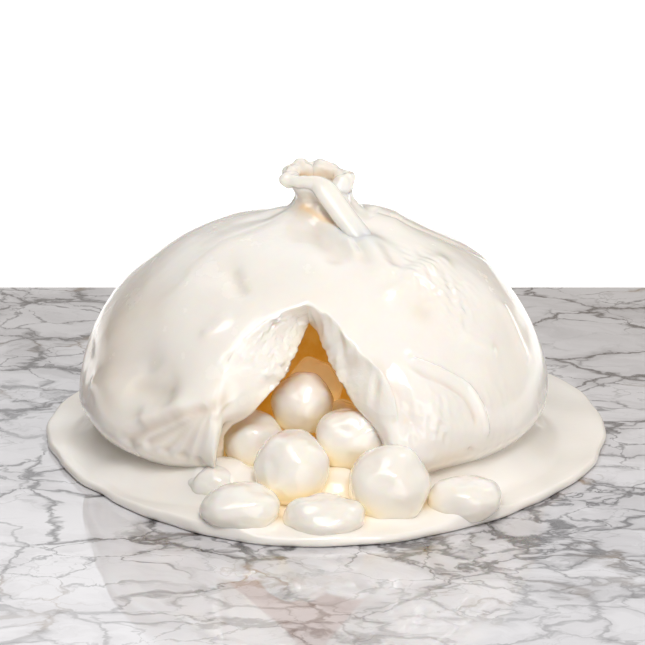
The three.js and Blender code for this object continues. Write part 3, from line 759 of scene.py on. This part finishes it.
# Each ball's middle, half sizes and marks; a mark is a place on the unit ball, its spread and its height
BALLS = [
    ((-4.6, -52.5, 37), (12.4, 12.1, 12.4), [((0.75, -0.5, 0.55), 0.14, 0.9), ((0.1, -0.8, 0.6), 0.3, -0.4)]),
    ((-24, -62, 23.5), (12.6, 12.2, 12.2), [((0.2, -0.75, 0.6), 0.22, 0.7), ((-0.2, -0.9, 0.3), 0.3, -0.7)]),
    ((16.5, -70, 27.9), (15.7, 13.4, 12.4), [((0.5, -0.6, 0.6), 0.3, 0.5), ((-0.6, -0.7, 0.2), 0.3, -0.5)]),
    ((-8.3, -86, 20.3), (14.7, 14.5, 14.7), [((0.85, -0.3, 0.45), 0.2, 1.5), ((-0.5, -0.7, 0.4), 0.4, -0.8)]),
    (
        (30.2, -93.5, 16.2), (16.1, 15.2, 15.2),
        [((0.6, -0.6, -0.5), 0.2, 0.9), ((-0.7, -0.6, 0.3), 0.25, 0.6)],
    ),
    ((-37.8, -78, 9.9), (12, 11, 9.4), [((0.7, -0.4, 0.5), 0.25, -0.8), ((0.1, -0.6, 0.7), 0.3, 0.4)]),
    ((-28.4, -103.4, 9.8), (15.9, 13.3, 9.4), [((0.6, -0.5, 0.6), 0.22, 0.7), ((-0.3, -0.8, 0.3), 0.4, 0.4)]),
    ((4.8, -107.5, 8.4), (16, 12.8, 8), [((-0.4, -0.5, 0.7), 0.25, 0.5), ((0.4, -0.7, 0.5), 0.3, -0.4)]),
    ((60.5, -90, 9.3), (14.8, 12.6, 8.9), [((0.3, -0.7, 0.6), 0.15, -0.8), ((0.6, -0.6, 0.4), 0.14, -0.7)]),
    ((0.3, -24, 35.1), (11.5, 11.4, 11.5), [((0.3, -0.8, 0.4), 0.3, 0.4)]),
    ((9.5, -84, 7.6), (7, 6.8, 6.8), [((0.2, -0.8, 0.5), 0.3, -0.3)]),
    ((12, -40, 23.5), (10.3, 10.2, 10.2), [((0.3, -0.8, 0.4), 0.3, 0.3)]),
]
BALL_MIDDLES = np.array([middle for middle, _, _ in BALLS])
BALL_HALVES = np.array([half for _, half, _ in BALLS])


def ball_grid(index):
    """A squashed sphere swollen by slow waves along its axes, then by its marks and a fine unevenness."""
    middle, half, marks = BALLS[index]
    latitude = np.linspace(math.pi / 2, -math.pi / 2, BALL_ROWS)[:, None]
    turn = np.linspace(0, FULL_TURN, BALL_COLUMNS + 1)[None, :]
    unit = np.stack(np.broadcast_arrays(
        np.cos(latitude) * np.sin(turn), -np.cos(latitude) * np.cos(turn), np.sin(latitude),
    ), -1).reshape(-1, 3)
    lumps = np.sin(unit * [3, 3, 4] + index * np.array([1, 2, 3])).sum(1)
    size = 1 + BALL_SWELL + BALL_UNEVENNESS * lumps / 3
    relief = unevenness(unit, [(height, wave, seed + index) for height, wave, seed in BALL_RIPPLES])
    relief += round_spots(unit, marks)
    points = middle + unit * (np.array(half) * size[:, None] + relief[:, None])
    return points.reshape(BALL_ROWS, BALL_COLUMNS + 1, 3)


def beside_balls(points):
    """How near each point is to each ball: one on its skin, fading within a few millimetres."""
    away = (points[:, None] - BALL_MIDDLES) / BALL_HALVES
    gap = (np.linalg.norm(away, axis=2) - 1) * BALL_HALVES.mean(1)
    return np.exp(-np.maximum(gap, 0) / 4.0)


def ball_depth(points, index):
    """The painted warm shade and glow of a ball: on its underside, between crowded balls and inside the bag.
    """
    near = beside_balls(points)
    crowded = near.sum(1) - near[:, index]
    under = ease(0.5, -0.7, (points[:, 2] - BALL_MIDDLES[index, 2]) / BALL_HALVES[index, 2])
    inside = ease(-52, -30, points[:, 1])
    between = ease(1.1, 1.9, crowded)
    return np.clip(under * (0.10 + 0.75 * crowded) + 0.6 * between + 0.8 * inside, 0, 1)


# Painted glow: the balls' shaded places give off light in their painted warm colour.
ball_finish = wet_cheese("ball_skin", (0.16, 0.24), 0.9, PAINTED_BUTTER_SHADE, 0.26)
for ball_index in range(len(BALLS)):
    ball_points, ball_corners, _ = weld([ball_grid(ball_index)])
    number = f"{ball_index + 1:02d}"
    nowhere = np.zeros(len(ball_points))
    make_piece(
        f"cheese_ball_{number}", ball_points, ball_corners, ball_finish, "ball", f"ball_{number}",
        depth=ball_depth(ball_points, ball_index), flaky=nowhere, wet=nowhere, shade=nowhere,
    )

# Cream pool
# Thick white cream that has run from the cut and round the bag, and stands on the polished stone with a
# swollen, rounded edge. It climbs a little where it meets the bag and the balls.
POOL_BEARINGS = [
    (-90, 122.5), (-60, 118.5), (-40, 116), (-15, 119.5), (10, 128), (30, 139), (47, 146), (70, 139),
    (98, 127), (127, 124), (150, 126), (170, 118), (190, 109.5), (212, 106), (232, 110), (252, 119),
]
POOL_DEPTH = 3.6
POOL_MOUNDS = [((-40, -86), 14.0, 3.0), ((62, -88), 11.0, 3.0)]
BAG_CLIMB, BAG_CLIMB_FROM, BAG_CLIMB_TO = 12.0, 84.0, 107.0
BALL_CLIMB, BALL_CLIMB_REACH = 3.2, 3.6
CREAM_WHITE = (0.965, 0.93, 0.885, 1)
CREAM_SHADE = (0.955, 0.91, 0.85, 1)


def pool_reach(turn):
    """The pool's reach at each bearing: straight between the known ones, averaged over a sector, and wavy."""
    bearing, reach = np.array(POOL_BEARINGS).T
    fine = np.arange(-180, 540)
    straight = np.interp(fine, np.concatenate([bearing - 360, bearing, bearing + 360]), np.tile(reach, 3))
    sector = np.hanning(33) / np.hanning(33).sum()
    wavy = 0.8 * np.sin(9 * turn + 1) * np.sin(4 * turn) + 0.5 * np.sin(23 * turn) * np.sin(5 * turn + 2)
    return np.interp(np.degrees(turn), fine, np.convolve(straight, sector, "same")) + wavy


def pool_grid():
    """A sheet from the middle out to the reach, flat, then a half-round edge, then flat underneath."""
    turn = np.linspace(-math.pi / 2, 1.5 * math.pi, 361)
    reach = pool_reach(turn)
    edge = np.linspace(0, math.pi, 14)
    bead = POOL_DEPTH / 2
    inner = np.concatenate([[0], np.linspace(0.45, 0.975, 90)])
    rings = [(share * (reach - bead), POOL_DEPTH) for share in inner]
    rings += [(reach - bead + bead * math.sin(a), bead * (1 + math.cos(a))) for a in edge]
    rings.append((0 * reach, 0.0))
    return np.stack([
        np.stack([out * np.cos(turn), out * np.sin(turn), np.full(len(turn), up + GAP / 2)], -1)
        for out, up in rings
    ])


def pool_surface(points):
    """Adds the mounds by the outer balls, slow swells, and the climb up the bag's foot and each ball."""
    x, y = points[:, 0], points[:, 1]
    upper = ease(0.4, 1.0, points[:, 2] / POOL_DEPTH)
    rise = 0.25 * ripples(points * [1, 1, 0], 45, 31)
    for (mound_x, mound_y), spread, height in POOL_MOUNDS:
        rise += height * np.exp(-((x - mound_x) ** 2 + (y - mound_y) ** 2) / (2 * spread ** 2))
    foot = np.hypot(x / HALF_WIDTH, y / HALF_DEPTH)
    rise += BAG_CLIMB * (1 - ease(BAG_CLIMB_FROM, BAG_CLIMB_TO, foot * HALF_WIDTH)) ** 1.1
    for middle, half in zip(BALL_MIDDLES, BALL_HALVES):
        away = (np.hypot((x - middle[0]) / half[0], (y - middle[1]) / half[1]) - 0.75) * half[0]
        lies_low = middle[2] - half[2] < POOL_DEPTH
        rise += BALL_CLIMB * np.exp(-np.maximum(away, 0) / BALL_CLIMB_REACH) * lies_low
    points[:, 2] += rise * upper
    return points


def poured_cream():
    """Smooth, wet and milky, a little yellower in slow drifts, with painted golden shade and glow in the gaps
    between the balls.
    """
    finish, tree, shader = new_finish("poured_cream")
    place = add_node(tree, "ShaderNodeTexCoord", {}).outputs["Object"]
    drift = noise(tree, place, 28.0, 3.0).outputs["Fac"]
    depth = add_node(tree, "ShaderNodeAttribute", {}, attribute_name="depth").outputs["Fac"]
    colour = blend_colours(tree, fade(tree, drift, 0.35, 0.7), CREAM_WHITE, CREAM_SHADE)
    tree.links.new(blend_colours(tree, depth, colour, PAINTED_GOLD_SHADE), shader.inputs["Base Color"])
    # Painted glow: the golden gaps give off a little light.
    shader.inputs["Emission Color"].default_value = PAINTED_GOLD_SHADE
    tree.links.new(calculate(tree, "MULTIPLY", depth, 0.06), shader.inputs["Emission Strength"])
    tree.links.new(fade(tree, drift, 0.3, 0.7, 0.14, 0.24), shader.inputs["Roughness"])
    swirl = noise(tree, place, 120.0, 2.0).outputs["Fac"]
    bump = add_node(tree, "ShaderNodeBump", {"Strength": 0.12, "Distance": 0.0006, "Height": swirl})
    tree.links.new(bump.outputs[0], shader.inputs["Normal"])
    shader.inputs["Subsurface Weight"].default_value = 0.15
    shader.inputs["Subsurface Radius"].default_value = (1.0, 0.65, 0.4)
    shader.inputs["Subsurface Scale"].default_value = 0.003
    shader.inputs["Coat Weight"].default_value = 0.4
    shader.inputs["Coat Roughness"].default_value = 0.06
    return finish


pool_points, pool_corners, _ = weld([pool_grid()])
pool_points = pool_surface(pool_points)
# Painted golden shade and glow in the gaps between the balls.
gaps_painted_gold = ease(1.0, 2.0, beside_balls(pool_points).sum(1)) * ease(-112, -96, pool_points[:, 1])
make_piece(
    "poured_cream", pool_points, pool_corners, poured_cream(), "cream", "cream_pool", depth=0.75 * gaps_painted_gold,
)

# Studio
# A wide white floor under the board, a main softbox high in front, a larger one beside it on the left, a low
# one at the right and a small one behind, and a pale wall behind, seen through a long lens from the front.
FLOOR_HALF = 15.0
CAMERA_PLACE = (0.0039, -1.2292, 0.4432)
CAMERA_PITCH = math.radians(90 - 16.646)
CAMERA_LENS = 169.06


def studio_floor():
    """A square far larger than the view, just under the board."""
    mesh = bpy.data.meshes.new("studio_floor")
    ends = FLOOR_HALF
    rim = [(-ends, -ends, 0), (ends, -ends, 0), (ends, ends, 0), (-ends, ends, 0)]
    mesh.from_pydata(rim, [], [(0, 1, 2, 3)])
    finish, tree, shader = new_finish("white_floor")
    place = add_node(tree, "ShaderNodeTexCoord", {}).outputs["Object"]
    along = add_node(tree, "ShaderNodeSeparateXYZ", {0: place})
    behind = fade(tree, along.outputs["Y"], 0.15, 0.45, 0.2, 0.9)
    beside = fade(tree, along.outputs["X"], -0.6, -0.3, 0.25, 1.0)
    tree.links.new(calculate(tree, "MULTIPLY", behind, beside), shader.inputs["Emission Strength"])
    shader.inputs["Base Color"].default_value = (0.9, 0.9, 0.9, 1)
    shader.inputs["Roughness"].default_value = 0.9
    shader.inputs["Emission Color"].default_value = (1, 1, 1, 1)
    mesh.materials.append(finish)
    floor = bpy.data.objects.new("studio_floor", mesh)
    bpy.context.scene.collection.objects.link(floor)
    floor.location.z = -0.0005


def softbox(name, place, size, power, target=(0, 0, 0.06)):
    """A square area light that looks at the food."""
    light = bpy.data.lights.new(name, "AREA")
    light.size = size
    light.energy = power
    lamp = bpy.data.objects.new(name, light)
    bpy.context.scene.collection.objects.link(lamp)
    lamp.location = place
    way = np.array(target) - np.array(place)
    lamp.rotation_euler = (math.acos(-way[2] / np.linalg.norm(way)), 0, math.atan2(-way[0], way[1]))


studio_floor()
softbox("main_light", (0.25, -1.25, 1.5), 0.55, 14.5)
softbox("top_light", (-0.4, -0.9, 1.6), 1.0, 9.5)
softbox("low_light", (0.9, -1.9, 0.55), 1.2, 8)
softbox("back_light", (1.1, 0.35, 1.45), 0.35, 1.6)
sky = bpy.data.worlds.new("pale_sky")
sky.use_nodes = True
sky_tree = sky.node_tree
way = add_node(sky_tree, "ShaderNodeTexCoord", {}).outputs["Generated"]
across = add_node(sky_tree, "ShaderNodeSeparateXYZ", {0: way})
low_wall = calculate(
    sky_tree, "MULTIPLY", fade(sky_tree, across.outputs["X"], -0.7, -0.3, 0.1, 0.95),
    fade(sky_tree, across.outputs["X"], -0.05, 0.12, 1.0, 0.5),
)
for limits in ((0.28, 0.38, 0.30, 1.0), (0.40, 0.46, 1.0, 0.25)):
    low_wall = calculate(sky_tree, "MULTIPLY", low_wall, fade(sky_tree, across.outputs["Z"], *limits))
high_wall = fade(sky_tree, across.outputs["Z"], 0.45, 0.6, 0.0, 0.65)
wall = calculate(
    sky_tree, "MULTIPLY", fade(sky_tree, across.outputs["Y"], 0.2, 0.6),
    calculate(sky_tree, "ADD", low_wall, high_wall),
)
wall = calculate(sky_tree, "ADD", wall, fade(sky_tree, across.outputs["X"], 0.5, 0.8, 0.0, 0.1))
backdrop = sky_tree.nodes["Background"]
white = calculate(sky_tree, "MULTIPLY", wall, 2.5)
sky_tree.links.new(blend_colours(sky_tree, white, (1, 0.82, 0.62, 1), (1, 1, 1, 1)), backdrop.inputs["Color"])
room = fade(sky_tree, across.outputs["X"], -0.7, 0.0, 0.06, 0.22)
sky_tree.links.new(calculate(sky_tree, "ADD", wall, room), backdrop.inputs["Strength"])
scene = bpy.context.scene
scene.world = sky
scene.view_settings.view_transform = "Standard"
lens = bpy.data.cameras.new("camera")
lens.lens = CAMERA_LENS
lens.sensor_width = 36.0
camera = bpy.data.objects.new("camera", lens)
scene.collection.objects.link(camera)
camera.location = CAMERA_PLACE
camera.rotation_euler = (CAMERA_PITCH, 0, 0)
scene.camera = camera
